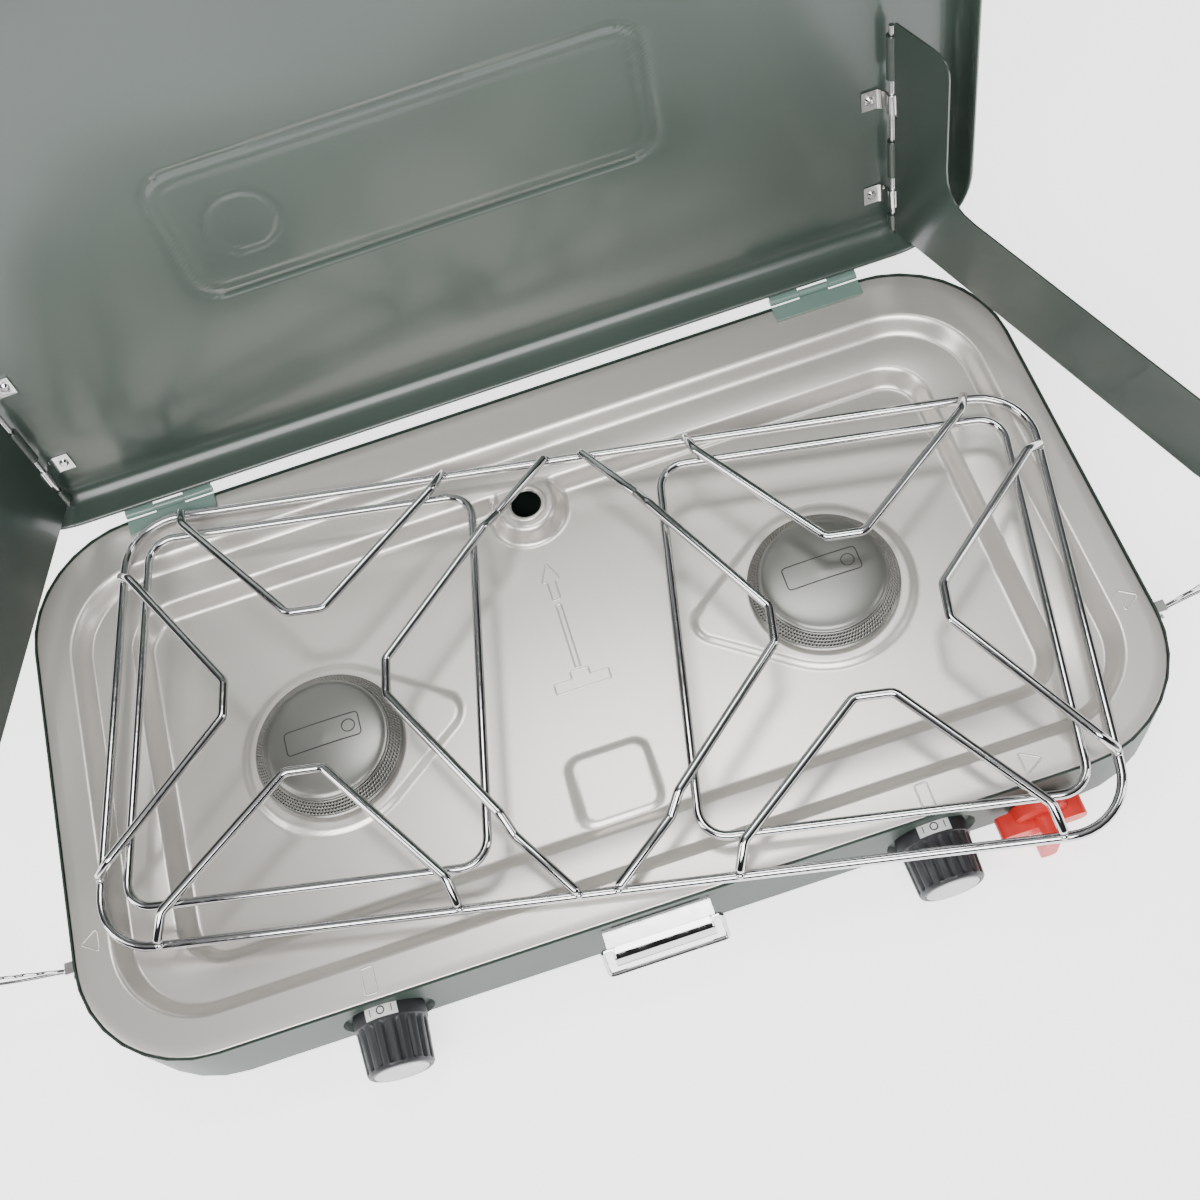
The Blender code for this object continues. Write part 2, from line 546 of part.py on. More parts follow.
def clip(side, word, level, lid_frame):
    """Bent clip riveted to the lid's inner panel, hooked round the guard's rod."""
    thick = 0.0009
    panel = LID_DEPTH - GAP - thick / 2 - GUARD_IN
    curl = arc(ROD + GAP + thick / 2, -50, 220, 18)
    path = [(-0.0140, panel), (-0.0060, panel), (-0.0044, panel - 0.0006), (-0.0032, panel - 0.0020)]
    path += [(p.x, -p.y) for p in reversed(curl)]
    at = (side * GUARD_X, GUARD_IN, CLIP_AT[level] + CLIP_WIDTH / 2)
    ob = bent_sheet("guard_clip_%s_%s" % (level, word), [(side * x, y) for x, y in path], CLIP_WIDTH, thick, CHROME,
                    at, parent=lid_frame)
    rivet = (side * (GUARD_X - 0.0098), GUARD_IN + panel, at[2])
    join(ob, turned("rivet", [(0.0026, 0.0), (0.0026, 0.0008), (0.0016, 0.0016)], rivet, FORWARD, steps=18,
                    parent=lid_frame))


# ---- side stays -----------------------------------------------------------------------
def stay(side, word):
    """Hairpin of wire on an eye that turns between the two lugs of a wall bracket."""
    at = Vector((side * STAY_AT.x, STAY_AT.y, STAY_AT.z))
    away = STAY_BACK if side > 0 else math.pi - STAY_BACK
    pivot = joint_frame("stay_axis_" + word, at, (0, 0, away))
    arm = [(0.0040, 0.0016), (0.0300, STAY_SPREAD - 0.0004), (STAY_LENGTH, STAY_SPREAD)]
    upper = [(x, 0, z) for x, z in arm]
    tip = [(STAY_LENGTH + p.x, 0, p.y) for p in reversed(arc(STAY_SPREAD, -60, 60, 30))]
    lower = [(x, 0, -z) for x, z in reversed(arm)]
    hairpin = as_mesh(wire("side_stay_" + word, upper + tip + lower, 0.0009, CHROME, pivot))
    join(hairpin, cone("eye", (0.0022, 0.0022), 0.0072, (0, 0, 0), segments=16, parent=pivot),
         rod("neck", (0.0005, 0, 0), (0.0060, 0, 0), 0.0020, segments=12, parent=pivot))

    def slab(name, near, far, half_y, low, high, mat=None):
        x = sorted((side * (HALF_W + near), side * (HALF_W + far)))
        return box(name, (x[0], at.y - half_y, at.z + low), (x[1], at.y + half_y, at.z + high), mat)
    bracket = slab("stay_bracket_" + word, GAP, 0.0015, 0.0070, -0.0080, 0.0080, ZINC)
    join(bracket, slab("lug", 0.0007, 0.0071, 0.0030, 0.0042, 0.0054), slab("lug", 0.0007, 0.0071, 0.0030, -0.0054, -0.0042))


# ---- grate ----------------------------------------------------------------------------
def grate():
    """Loose wire grate: an outer frame, a loop over each burner, and raised arms resting on the frame."""
    frame = joint_frame("grate_frame", GRATE_AT, (0, 0, GRATE_TURN))
    wire("grate_outer_frame", rounded(GRATE_HW, GRATE_HD, 0.030, steps=6), WIRE, CHROME, frame, True, 3)
    under = GRATE_RISE - WIRE - LOOP_WIRE - GAP
    rest, top = 2 * WIRE + GAP, GRATE_RISE

    def arm(kind, word, points, bend=0.006):
        wire("grate_arm_%s_%s" % (kind, word), bent(points, bend, 3), WIRE, CHROME, frame)

    for side, word in SIDES:
        c = side * COOK_X
        loop = [point + Vector((c, 0, 0)) for point in rounded(0.0905, 0.1035, 0.014, under, steps=4)]
        wire("grate_loop_" + word, loop, LOOP_WIRE, CHROME, frame, True)
        for y, kind in ((1, "rear"), (-1, "front")):
            half = [(0.0745, y * GRATE_HD, rest), (0.0705, y * 0.1085, top), (0.0098, y * 0.0445, top)]
            arm(kind, word, [(c - x, *p) for x, *p in half] + [(c + x, *p) for x, *p in reversed(half)])
        # both ends of the outer arm drop onto the frame's end bar
        half = [(side * GRATE_HW, 0.0850, rest), (c + side * 0.0990, 0.0790, top), (c + side * 0.0430, 0.0100, top)]
        arm("outer", word, half + [(x, -y, z) for x, y, z in reversed(half)])
        # the inner arm drops beside the loop, then runs level to the middle of the long bars
        far = c - side * 0.0980
        half = [(side * 0.0095, GRATE_HD, rest), (far - side * 0.0055, 0.0900, rest + 0.0002), (far, 0.0800, top),
                (c - side * 0.0430, 0.0100, top)]
        arm("inner", word, half + [(x, -y, z) for x, y, z in reversed(half)], 0.005)


# ---- build ----------------------------------------------------------------------------
case()
deck()
feet()
manifold()
igniter()
latch()
grate()
LID_FRAME = joint_frame("lid_axis", (0, HINGE_Y, HINGE_Z), (-LEAN, 0, 0))
lid(LID_FRAME)
for SIDE, WORD in SIDES:
    burner(SIDE, WORD)
    venturi(SIDE, WORD)
    electrode(SIDE, WORD)
    SPINDLE = joint_frame("knob_axis_" + WORD, (SIDE * KNOB_X, -HALF_D, KNOB_Z), FORWARD)
    valve(WORD, SPINDLE)
    knob(WORD, SPINDLE)
    hinge(SIDE, WORD, LID_FRAME)
    guard(SIDE, WORD, LID_FRAME)
    for LEVEL in CLIP_AT:
        clip(SIDE, WORD, LEVEL, LID_FRAME)
    stay(SIDE, WORD)
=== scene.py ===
# Two-burner camp stove: fine surfaces, materials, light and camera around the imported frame.
import json
import math

import bmesh
import bpy
from mathutils import Matrix, Vector


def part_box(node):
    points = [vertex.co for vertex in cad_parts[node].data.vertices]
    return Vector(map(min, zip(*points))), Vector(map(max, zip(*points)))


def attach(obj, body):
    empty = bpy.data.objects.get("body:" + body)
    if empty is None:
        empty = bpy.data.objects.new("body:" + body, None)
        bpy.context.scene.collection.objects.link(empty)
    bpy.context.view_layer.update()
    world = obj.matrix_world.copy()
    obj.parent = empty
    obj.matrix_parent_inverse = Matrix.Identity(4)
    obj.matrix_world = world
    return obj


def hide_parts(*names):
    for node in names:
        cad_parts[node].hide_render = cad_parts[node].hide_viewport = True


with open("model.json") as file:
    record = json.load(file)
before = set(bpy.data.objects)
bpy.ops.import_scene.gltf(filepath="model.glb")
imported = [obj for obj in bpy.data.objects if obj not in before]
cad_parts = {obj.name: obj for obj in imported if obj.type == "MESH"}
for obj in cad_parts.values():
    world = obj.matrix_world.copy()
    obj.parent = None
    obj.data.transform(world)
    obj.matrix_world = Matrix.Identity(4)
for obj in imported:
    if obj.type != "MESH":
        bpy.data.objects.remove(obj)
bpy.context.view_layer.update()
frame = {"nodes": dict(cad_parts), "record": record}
NODES = frame["nodes"]

# ---- places, from the frame -------------------------------------------------------------
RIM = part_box("case_shell")[1].z           # top of the case wall and of the cooking deck
HALF_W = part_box("case_shell")[1].x
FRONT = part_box("cooktop_tray")[0].y       # deck's front edge
BURNER = (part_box("burner_cap_right")[0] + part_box("burner_cap_right")[1]) / 2
KNOB = (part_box("control_knob_right")[0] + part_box("control_knob_right")[1]) / 2
KNOB_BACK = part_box("control_knob_right")[1].y
FLOOR_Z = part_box("foot_front_left")[0].z
LID_HALF_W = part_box("lid_shell")[1].x

# ---- the lid's directions, and sizes that pieces share -----------------------------------
LEAN = math.radians(5)                    # how far the lid leans back
UP = Vector((0, math.sin(LEAN), math.cos(LEAN)))        # up along the lid
OUT = Vector((0, -math.cos(LEAN), math.sin(LEAN)))      # from the lid's back to its open side
PIVOT = Vector((0, 0.1560, RIM + 0.0020))               # on the lid's hinge line
LID_HEIGHT = 0.3130
LID_LOW = 0.0035
LID_DEPTH = 0.0180
SHEET = 0.0010
DECK_TOP = RIM - 0.0006
LEDGE_DROP = 0.0090
FLOOR_DROP = 0.0190
SIDES = ((-1, "left"), (1, "right"))


# ---- materials --------------------------------------------------------------------------
NOISE_LOW = 0.2
NOISE_HIGH = 0.8
HALF_SHINE = 0.5                          # a plastic's or a paint's usual specular level


def principled(name, color, rough, metal=0.0, coat=0.0, coat_rough=0.1):
    mat = bpy.data.materials.new(name)
    mat.use_nodes = True
    bsdf = mat.node_tree.nodes["Principled BSDF"]
    bsdf.inputs["Base Color"].default_value = (*color, 1)
    bsdf.inputs["Roughness"].default_value = rough
    bsdf.inputs["Metallic"].default_value = metal
    bsdf.inputs["Coat Weight"].default_value = coat
    bsdf.inputs["Coat Roughness"].default_value = coat_rough
    return mat


def noise(mat, scale):
    """A noise texture in object space. The scale is in spots per metre."""
    tree = mat.node_tree
    coord = tree.nodes.new("ShaderNodeTexCoord")
    tex = tree.nodes.new("ShaderNodeTexNoise")
    tex.inputs["Scale"].default_value = scale
    tex.inputs["Detail"].default_value = 1
    tree.links.new(coord.outputs["Object"], tex.inputs["Vector"])
    return tex.outputs["Fac"]


def remap(mat, value, low, high):
    """The middle of a noise's range, spread smoothly from low to high."""
    tree = mat.node_tree
    node = tree.nodes.new("ShaderNodeMapRange")
    node.interpolation_type = "SMOOTHSTEP"
    for key, number in (("From Min", NOISE_LOW), ("From Max", NOISE_HIGH), ("To Min", low), ("To Max", high)):
        node.inputs[key].default_value = number
    tree.links.new(value, node.inputs["Value"])
    return node.outputs["Result"]


def vary_roughness(mat, scale, low, high):
    """Uneven gloss, from low to high."""
    bsdf = mat.node_tree.nodes["Principled BSDF"]
    result = remap(mat, noise(mat, scale), low, high)
    mat.node_tree.links.new(result, bsdf.inputs["Roughness"])


def vary_color(mat, scale, first, second):
    tree = mat.node_tree
    mix = tree.nodes.new("ShaderNodeMix")
    mix.data_type = "RGBA"
    mix.inputs["A"].default_value = (*first, 1)
    mix.inputs["B"].default_value = (*second, 1)
    tree.links.new(remap(mat, noise(mat, scale), 0, 1), mix.inputs["Factor"])
    tree.links.new(mix.outputs["Result"], tree.nodes["Principled BSDF"].inputs["Base Color"])


def grain(mat, layers):
    """Bumps stacked on each other: (noise scale, height in metres)."""
    tree = mat.node_tree
    last = None
    for scale, height in layers:
        bump = tree.nodes.new("ShaderNodeBump")
        bump.inputs["Distance"].default_value = height
        bump.inputs["Strength"].default_value = 1.0
        tree.links.new(noise(mat, scale), bump.inputs["Height"])
        if last:
            tree.links.new(last, bump.inputs["Normal"])
        last = bump.outputs["Normal"]
    tree.links.new(last, tree.nodes["Principled BSDF"].inputs["Normal"])


def enamel(name, first, second, rough, coat=0.55, shine=HALF_SHINE):
    mat = principled(name, first, rough, 0.0, coat, 0.16)
    mat.node_tree.nodes["Principled BSDF"].inputs["Specular IOR Level"].default_value = shine
    # Blotchy tone from noise: uneven paint, and on the glossy lid also a painted reflection standing in for
    # soft, wavy highlights
    vary_color(mat, 7, first, second)
    vary_roughness(mat, 5, rough, rough + 0.06)
    grain(mat, [(5, 0.0030), (900, 0.000008)])
    return mat


def sheet_steel(name, first, second, rough):
    mat = principled(name, first, rough, 0.70)
    vary_color(mat, 5, first, second)
    vary_roughness(mat, 4, rough - 0.02, rough + 0.03)
    grain(mat, [(3, 0.0010), (1600, 0.000002)])
    return mat


def plated(name, color, rough):
    mat = principled(name, color, rough, 1.0)
    vary_roughness(mat, 240, rough, rough + 0.07)
    grain(mat, [(420, 0.00001)])
    return mat


def plastic(name, first, second, rough, bump=0.00003, shine=HALF_SHINE):
    mat = principled(name, first, rough)
    mat.node_tree.nodes["Principled BSDF"].inputs["Specular IOR Level"].default_value = shine
    vary_color(mat, 60, first, second)
    vary_roughness(mat, 300, rough - 0.05, rough + 0.08)
    grain(mat, [(1800, bump)])
    return mat


# Lid enamel: its lighter second colour paints part of the soft, mottled reflections on the lid's panel
LID_GREEN = enamel("lid_green_enamel", (0.033, 0.050, 0.041), (0.046, 0.067, 0.055), 0.285)
CASE_GREEN = enamel("case_green_enamel", (0.026, 0.040, 0.033), (0.036, 0.053, 0.044), 0.42,
                    0.04, 0.22)
GUARD_GREEN = enamel("guard_green_enamel", (0.024, 0.037, 0.030), (0.036, 0.053, 0.044), 0.30)
TEAL = enamel("hinge_teal_enamel", (0.150, 0.235, 0.205), (0.175, 0.262, 0.230), 0.32)
DECK = sheet_steel("satin_deck_steel", (0.71, 0.675, 0.630), (0.77, 0.735, 0.690), 0.30)
PRESSED = sheet_steel("burner_steel", (0.22, 0.22, 0.205), (0.27, 0.27, 0.255), 0.30)
CHROME = plated("chrome_wire", (0.58, 0.58, 0.59), 0.05)
ZINC = plated("zinc_plate", (0.58, 0.58, 0.57), 0.29)
LATCH_WHITE = plated("bright_latch_plate", (0.90, 0.90, 0.89), 0.19)
BRASS = plated("turned_brass", (0.72, 0.53, 0.24), 0.29)
CHARCOAL = plastic("charcoal_plastic", (0.013, 0.014, 0.016), (0.021, 0.022, 0.025), 0.42)
DISC_GREY = plastic("knob_grey_plastic", (0.42, 0.43, 0.45), (0.50, 0.51, 0.52), 0.35)
WHITE = plastic("label_white", (0.80, 0.80, 0.78), (0.88, 0.88, 0.86), 0.40, 0.00001)
INK = plastic("label_ink", (0.015, 0.015, 0.016), (0.025, 0.025, 0.026), 0.50, 0.00001)
RED = plastic("igniter_red", (0.62, 0.028, 0.022), (0.70, 0.040, 0.030), 0.36, 0.00002, 0.25)
CERAMIC = plastic("electrode_ceramic", (0.80, 0.78, 0.72), (0.88, 0.86, 0.80), 0.25, 0.00001)
RUBBER = plastic("foot_rubber", (0.020, 0.020, 0.020), (0.035, 0.035, 0.034), 0.75, 0.00006)


# ---- mesh helpers -----------------------------------------------------------------------
SMOOTH_ANGLE = 32                         # degrees between faces that still look smooth


def smooth(ob, degrees):
    ob.data.shade_smooth()
    ob.data.set_sharp_from_angle(angle=math.radians(degrees))


def piece(name, verts, faces, mat, body, nodes=(), degrees=SMOOTH_ANGLE):
    """A mesh piece that rides on a body, and stands for the CAD nodes given."""
    mesh = bpy.data.meshes.new(name)
    mesh.from_pydata([tuple(v) for v in verts], [], faces)
    mesh.validate()
    ob = bpy.data.objects.new(name, mesh)
    bpy.context.scene.collection.objects.link(ob)
    bm = bmesh.new()
    bm.from_mesh(mesh)
    bmesh.ops.remove_doubles(bm, verts=bm.verts, dist=1e-6)
    bmesh.ops.recalc_face_normals(bm, faces=bm.faces)
    bm.to_mesh(mesh)
    bm.free()
    mesh.materials.append(mat)
    smooth(ob, degrees)
    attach(ob, body)
    if nodes:
        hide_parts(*nodes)
    return ob


def skin(loops, cap_first=False, cap_last=False, close=False):
    """Vertices and faces of rings joined in order."""
    n = len(loops[0])
    verts = [v for loop in loops for v in loop]
    faces = []
    count = len(loops)
    for k in range(count if close else count - 1):
        a, b = k * n, ((k + 1) % count) * n
        for i in range(n):
            j = (i + 1) % n
            faces.append((a + i, a + j, b + j, b + i))
    if cap_first:
        faces.append(tuple(reversed(range(n))))
    if cap_last:
        faces.append(tuple(range((count - 1) * n, count * n)))
    return verts, faces


def axes(axis):
    axis = Vector(axis).normalized()
    other = Vector((0, 0, 1)) if abs(axis.z) < 0.9 else Vector((1, 0, 0))
    u = axis.cross(other).normalized()
    return axis, u, axis.cross(u)


def lathe(name, profile, at, axis, mat, body, nodes=(), n=128, wave=None, closed=False,
          degrees=SMOOTH_ANGLE):
    """Profile of (radius, distance along the axis) turned into a round body. A wave may change the radius."""
    axis, u, v = axes(axis)
    loops = []
    for r, h in profile:
        ring = []
        for i in range(n):
            a = 2 * math.pi * i / n
            rr = wave(a, r, h) if wave else r
            ring.append(Vector(at) + axis * h + (u * math.cos(a) + v * math.sin(a)) * rr)
        loops.append(ring)
    verts, faces = skin(loops, not closed, not closed, closed)
    piece(name, verts, faces, mat, body, nodes, degrees)


def arc_profile(points, radius, steps, closed=False):
    """Corners of a polyline replaced by curves of about the given radius."""
    pts = [Vector(p) for p in points]
    out = [] if closed else [pts[0]]
    for i in (range(len(pts)) if closed else range(1, len(pts) - 1)):
        p, a, b = pts[i], pts[i - 1], pts[(i + 1) % len(pts)]
        da, db = a - p, b - p
        half = max(da.angle(db) / 2, 0.05)
        reach = min(radius / math.tan(half), 0.45 * da.length, 0.45 * db.length)
        t0, t1 = p + da.normalized() * reach, p + db.normalized() * reach
        for s in range(steps + 1):
            t = s / steps
            out.append(t0 * (1 - t) ** 2 + p * 2 * t * (1 - t) + t1 * t ** 2)
    if not closed:
        out.append(pts[-1])
    return out


def wire(name, pts, radius, mat, body, nodes=(), closed=False, resolution=4):
    """A round wire through smooth points. Its ends taper to soft tips unless it closes on itself."""
    curve = bpy.data.curves.new(name, "CURVE")
    curve.dimensions = "3D"
    curve.bevel_depth = radius
    curve.bevel_resolution = resolution
    curve.use_fill_caps = True
    pts = [Vector(p) for p in pts]
    radii = [1.0] * len(pts)
    if not closed:
        first = (pts[0] - pts[1]).normalized()
        last = (pts[-1] - pts[-2]).normalized()
        tips = [(0.0, 0.55), (0.25, 0.80), (0.6, 0.97)]
        head = [pts[0] - first * radius * d for d, _ in tips]
        tail = [pts[-1] - last * radius * d for d, _ in tips]
        pts = head + pts[1:-1] + tail[::-1]
        radii = [s for _, s in tips] + [1.0] * (len(pts) - 6) + [s for _, s in tips][::-1]
    spline = curve.splines.new("POLY")
    spline.points.add(len(pts) - 1)
    for q, p, s in zip(spline.points, pts, radii):
        q.co = (*p, 1)
        q.radius = s
    spline.use_cyclic_u = closed
    curve.materials.append(mat)
    ob = bpy.data.objects.new(name, curve)
    bpy.context.scene.collection.objects.link(ob)
    spline.use_smooth = True
    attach(ob, body)
    if nodes:
        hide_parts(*nodes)


def soften(ob, width):
    """Rounded edges on a CAD node."""
    mod = ob.modifiers.new("edges", "BEVEL")
    mod.width = width
    mod.segments = 2
    mod.limit_method = "ANGLE"
    mod.angle_limit = math.radians(40)
    mod.harden_normals = True


def rounded(hx, hy, r, z, cy, across, deep, corner):
    """A rounded rectangle with evenly split sides, counter-clockwise from the right side."""
    sx, sy = hx - r, hy - r
    sides = (((hx, -sy), (0, 2 * sy), deep, (sx, sy)), ((sx, hy), (-2 * sx, 0), across, (-sx, sy)),
             ((-hx, sy), (0, -2 * sy), deep, (-sx, -sy)), ((-sx, -hy), (2 * sx, 0), across, (sx, -sy)))
    pts = []
    for quarter, (start, run, count, centre) in enumerate(sides):
        for k in range(count):
            pts.append(Vector((start[0] + run[0] * k / count, start[1] + run[1] * k / count, 0)))
        for k in range(corner):
            a = math.pi / 2 * (quarter + k / corner)
            pts.append(Vector((centre[0] + r * math.cos(a), centre[1] + r * math.sin(a), 0)))
    return [Vector((p.x, p.y + cy, z)) for p in pts]


def circle(at, radius, count):
    """Points round a circle, counter-clockwise from the right, flat in x and y."""
    turns = [2 * math.pi * k / count for k in range(count)]
    return [Vector((at[0] + radius * math.cos(a), at[1] + radius * math.sin(a))) for a in turns]


def ramp(x):
    """0 to 1 with soft ends."""
    x = min(1.0, max(0.0, x))
    return x * x * (3 - 2 * x)


# ---- cooking deck -----------------------------------------------------------------------
POCKET = Vector((0.0, 0.0880))            # middle of the lobe with the catch hole
POCKET_HOLE = 0.0085
POCKET_HALF_W = 0.0150
POCKET_SLOPE = 0.0070
POCKET_SINK = 0.0006                      # how far the lobe's top lies under the ledge
DECK_MID = -0.0040                        # middle of the steps and of the floor, along y
PANEL_AT = (0.0, -0.0800)                 # raised panel between the burners
PANEL_SIZE = (0.0205, 0.0185, 0.0070)     # half width, half depth, corner radius
PANEL_RISE = 0.0016
DROP_RISE = 0.0017
DROP_ROUND = 0.0460                       # radius of a teardrop round its burner
DROP_TIP = 0.0110                         # radius of its tip
DROP_LENGTH = 0.0590                      # from the burner's middle to the middle of the tip
FLOOR_STEP = 0.0013                       # distance between the rings of points on the floor
FLOOR_RUN_OUT = 0.0012                    # half depth at which the rings close into a line


def box_distance(x, y, cx, cy, hx, hy, r):
    """Signed distance to a rounded rectangle, negative inside."""
    qx, qy = abs(x - cx) - (hx - r), abs(y - cy) - (hy - r)
    return math.hypot(max(qx, 0), max(qy, 0)) + min(max(qx, qy), 0) - r


def drop_distance(x, y, side):
    """Signed distance to the teardrop round a burner, its tip towards the stove's middle."""
    px, py = (x - side * BURNER.x) * -side, abs(y - BURNER.y)
    b = (DROP_ROUND - DROP_TIP) / DROP_LENGTH
    a = math.sqrt(1 - b * b)
    k = -b * py + a * px
    if k < 0:
        return math.hypot(px, py) - DROP_ROUND
    if k > a * DROP_LENGTH:
        return math.hypot(px - DROP_LENGTH, py) - DROP_TIP
    return px * b + py * a - DROP_ROUND


def deck_relief(x, y):
    """Height pressed into the deck's floor."""
    panel = box_distance(x, y, *PANEL_AT, *PANEL_SIZE)
    z = PANEL_RISE * (1 - ramp((panel + 0.0012) / 0.0032))
    for side, _ in SIDES:
        z += DROP_RISE * (1 - ramp((drop_distance(x, y, side) + 0.0010) / 0.0034))
    from_hole = math.hypot(x - POCKET.x, min(0.0, y - POCKET.y))
    lobe_rise = FLOOR_DROP - LEDGE_DROP - POCKET_SINK
    lobe = lobe_rise * (1 - ramp((from_hole - POCKET_HALF_W) / POCKET_SLOPE))
    return max(z, lobe)


def fillet_steps(start, stop, drop0, drop1, count):
    """Sections down one soft step, as a smooth S: half width, half depth, corner radius and drop."""
    out = []
    for k in range(count + 1):
        t = k / count
        size = [a + (b - a) * t for a, b in zip(start, stop)]
        out.append((*size, drop0 + (drop1 - drop0) * ramp(t)))
    return out


def deck_loops():
    """Rings of points from the deck's rolled edge, down two soft steps, to a line in the floor's middle."""
    rim_out = (HALF_W - 0.0013, -FRONT, 0.0627)
    step1_out, step1_in = (0.2610, 0.1310, 0.0480), (0.2515, 0.1215, 0.0385)
    step2_out, step2_in = (0.2305, 0.1055, 0.0265), (0.2210, 0.0960, 0.0170)

    def loop(size, drop, mid=DECK_MID):
        return rounded(*size, DECK_TOP - drop, mid, 190, 70, 16)
    loops = []
    for inset, drop in ((0.0, 0.0009), (0.0002, 0.0002), (0.0009, 0.0)):
        loops.append(loop([size - inset for size in rim_out], drop, 0))
    for k in (0.35, 0.7, 0.97):
        size = [a + (b - a) * k for a, b in zip(rim_out, step1_out)]
        loops.append(loop(size, 0.0, DECK_MID * k))
    for sizes in (fillet_steps(step1_out, step1_in, 0.0, LEDGE_DROP, 12),
                  fillet_steps(step2_out, step2_in, LEDGE_DROP, FLOOR_DROP, 12)):
        loops += [loop(s[:3], s[3]) for s in sizes]
    k = 1
    while step2_in[1] - k * FLOOR_STEP > FLOOR_RUN_OUT:
        inset = k * FLOOR_STEP
        radius = max(step2_in[2] - inset * 0.6, 0.0008)
        loops.append(loop((step2_in[0] - inset, step2_in[1] - inset, radius), FLOOR_DROP))
        k += 1
    loops.append(loop((step2_in[0] - step2_in[1], 0.0, 0.0), FLOOR_DROP))
    return loops


def press(loops):
    """Lifts the floor's points, and the steps' lower points, to the pressed relief."""
    floor, ledge = DECK_TOP - FLOOR_DROP, DECK_TOP - LEDGE_DROP
    for ring in loops:
        for p in ring:
            if p.z < ledge + 0.0004:
                p.z = min(max(p.z, floor + deck_relief(p.x, p.y)), ledge)


def deck():
    loops = deck_loops()
    press(loops)
    verts, faces = skin(loops)
    keep = []
    moved = set()
    for f in faces:
        near = [(verts[i].xy - POCKET).length < POCKET_HOLE for i in f]
        if len(f) == 4 and all(near):
            continue
        keep.append(f)
        if len(f) == 4 and any(near):
            moved |= {i for i, inside in zip(f, near) if inside}
    for i in moved:
        away = (verts[i].xy - POCKET).normalized() * POCKET_HOLE
        verts[i].x, verts[i].y = POCKET.x + away.x, POCKET.y + away.y
    ob = piece("deck_pressing", verts, keep, DECK, "base", ("cooktop_tray",), 60)
    if ob.data.polygons[0].normal.z < -0.5:
        ob.data.flip_normals()
    thick = ob.modifiers.new("sheet", "SOLIDIFY")
    thick.thickness = SHEET
    thick.offset = -1
    hole_lip()


def hole_lip():
    """Raised lip round the catch hole."""
    section = [(0.0116, -0.0004), (0.0112, 0.0005), (0.0100, 0.0008), (0.0090, 0.0004), (0.0086, -0.0006)]
    ledge = DECK_TOP - LEDGE_DROP
    loops = []
    for r, h in section:
        ring = circle(POCKET, r, 64)
        loops.append([Vector((p.x, p.y, ledge + h)) for p in ring])
    verts, faces = skin(loops, close=True)
    piece("deck_hole_lip", verts, faces, DECK, "base", degrees=60)


MARK_WIRE = 0.0006
MARK_BEND = 0.0009
MARK_ROW = -0.1430                        # y of the marks on the front rim
MARK_SINK = 0.0002


def oblong(x, y, half_w, half_h):
    left, right, low, high = x - half_w, x + half_w, y - half_h, y + half_h
    return [(left, low), (right, low), (right, high), (left, high)]


def deck_marks():
    """Thin raised outlines pressed into the deck, as guides for the hand."""
    rim_shapes = [oblong(x, MARK_ROW, 0.0030, 0.0065) for x in (-KNOB.x, KNOB.x)]
    rim_shapes.append([(0.1875, MARK_ROW - 0.0058), (0.1975, MARK_ROW), (0.1875, MARK_ROW + 0.0058)])
    for side, _ in SIDES:
        rim_shapes.append([(side * 0.2660, -0.0860), (side * 0.2750, -0.0800), (side * 0.2660, -0.0740)])
    arrow = [(-0.0022, 0.0300), (-0.0022, 0.0420), (-0.0052, 0.0420), (0.0, 0.0540), (0.0052, 0.0420),
             (0.0022, 0.0420), (0.0022, 0.0300)]
    post = [(-0.0014, -0.0120), (-0.0014, 0.0270), (0.0014, 0.0270), (0.0014, -0.0120)]
    foot = [(-0.0150, -0.0240), (-0.0150, -0.0180), (-0.0050, -0.0180), (-0.0050, -0.0135), (0.0050, -0.0135),
            (0.0050, -0.0180), (0.0150, -0.0180), (0.0150, -0.0240)]
    on_rim = [(shape, DECK_TOP) for shape in rim_shapes]
    on_floor = [(shape, DECK_TOP - FLOOR_DROP) for shape in (arrow, post, foot)]
    for k, (shape, height) in enumerate(on_rim + on_floor):
        pts = arc_profile([(x, y, height - MARK_SINK) for x, y in shape], MARK_BEND, 3, True)
        wire("deck_mark_%d" % (k + 1), pts, MARK_WIRE, DECK, "base", closed=True, resolution=2)


# ---- burners ----------------------------------------------------------------------------
DOME_RADIUS = 0.0318
DOME_FOOT = -0.0058                       # where the dome starts, from the deck's rim
DOME_RISE = 0.0030
BADGE_LIFT = 0.00012
BADGE_AT = 0.002                          # the badge's middle, behind the burner's middle
BADGE_STEP = 0.0015                       # longest stretch between points of the badge's outline, about


